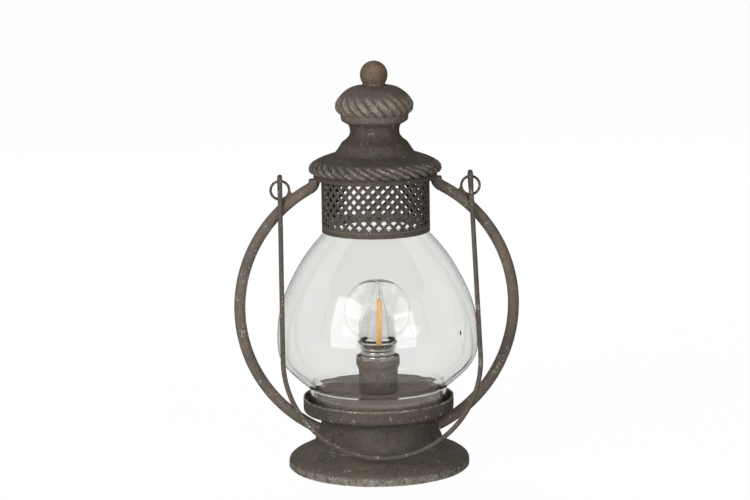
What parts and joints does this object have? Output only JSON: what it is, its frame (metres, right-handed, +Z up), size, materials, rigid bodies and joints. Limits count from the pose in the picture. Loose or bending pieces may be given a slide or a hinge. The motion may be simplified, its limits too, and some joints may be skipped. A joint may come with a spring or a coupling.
{
  "type": "hanging lantern",
  "caption": "Hurricane-style battery lantern: clear glass globe between a spun foot and a perforated sleeve under a domed roof, arched side tubes and a swinging bail.",
  "frame": {"origin": "centre of the foot on the ground", "axes": "+Z up along the lantern's axis; +X to the right, through the right side tube; the front, where the bail rests, is -Y"},
  "size_m": [0.215, 0.1512, 0.3079],
  "materials": {
    "aged_iron": "matt, aged and rubbed at the edges",
    "dark_iron": "matt, aged",
    "globe_glass": "clear, polished",
    "bulb_glass": "clear, polished",
    "brass": "dull",
    "ceramic": "unglazed",
    "steel": "zinc plated",
    "nickel": "nickel plated",
    "solder": "dull solder",
    "filament": "silicone coated",
    "circuit_board": "solder-mask green",
    "black_plastic": "moulded, satin",
    "cell_jacket": "printed film, plain",
    "red_wire": "insulated wire",
    "black_wire": "insulated wire"
  },
  "bodies": {
    "body": {"base_foot": "aged_iron", "bottom_plate": "dark_iron", "tank_drum": "aged_iron", "gallery_pan": "aged_iron", "burner_deck": "dark_iron", "glass_globe": "globe_glass", "lamp_holder": "dark_iron", "holder_thread": "brass", "holder_base": "ceramic", "holder_tongue": "brass", "threaded_nipple": "brass", "nipple_nuts": "steel", "top_ring": "dark_iron", "side_tube_left": "aged_iron", "side_tube_right": "aged_iron", "bail_loop_left": "aged_iron", "bail_loop_right": "aged_iron", "battery_box": "black_plastic", "battery_1": "cell_jacket", "battery_2": "cell_jacket", "battery_3": "cell_jacket", "cell_spring_1": "steel", "cell_spring_2": "steel", "cell_spring_3": "steel", "bridge_contact_left": "nickel", "bridge_contact_right": "nickel", "terminal_positive": "nickel", "terminal_negative": "nickel", "box_screws": "steel", "switch_body": "black_plastic", "switch_terminals": "nickel", "wire_positive": "red_wire", "wire_switched": "red_wire", "wire_negative": "black_wire"},
    "bail": {"bail_handle": "aged_iron"},
    "roof": {"vent_sleeve": "dark_iron", "roof_bell": "aged_iron", "roof_neck": "aged_iron", "crown_dome": "aged_iron", "finial_ball": "aged_iron", "tie_rod": "steel", "roof_bridge": "dark_iron", "roof_nut": "steel"},
    "bulb": {"bulb_glass": "bulb_glass", "bulb_stem": "bulb_glass", "led_filament": "filament", "filament_leads": "steel"},
    "cap": {"bulb_cap": "nickel", "bulb_insulator": "black_plastic", "bulb_contact": "solder", "led_driver": "circuit_board"},
    "lid": {"battery_lid": "black_plastic"},
    "slider": {"switch_slider": "black_plastic"}
  },
  "joints": [
    {"name": "bail_swing", "type": "hinge", "parent": "body", "child": "bail", "pos_m": [0, 0, 0.2195], "axis": [-1, 0, 0], "range_deg": [0, 326]},
    {"name": "roof_lift", "type": "slide", "parent": "body", "child": "roof", "axis": [0, 0, 1], "range_m": [0, 0.05]},
    {"name": "bulb_rise", "type": "slide", "parent": "body", "child": "bulb", "axis": [0, 0, 1], "range_m": [0, 0.02177]},
    {"name": "bulb_turn", "type": "hinge", "parent": "bulb", "child": "cap", "pos_m": [0, 0, 0.08], "axis": [0, 0, 1], "range_deg": [0, 2160]},
    {"name": "lid_hinge", "type": "hinge", "parent": "body", "child": "lid", "pos_m": [0, -0.0268, 0.0042], "axis": [-1, 0, 0], "range_deg": [0, 88]},
    {"name": "switch_slide", "type": "slide", "parent": "body", "child": "slider", "axis": [1, 0, 0], "range_m": [0, 0.003]}
  ],
  "couplings": [
    {"joint": "bulb_turn", "follows": "bulb_rise", "rad_per_m": 1731.4}
  ]
}
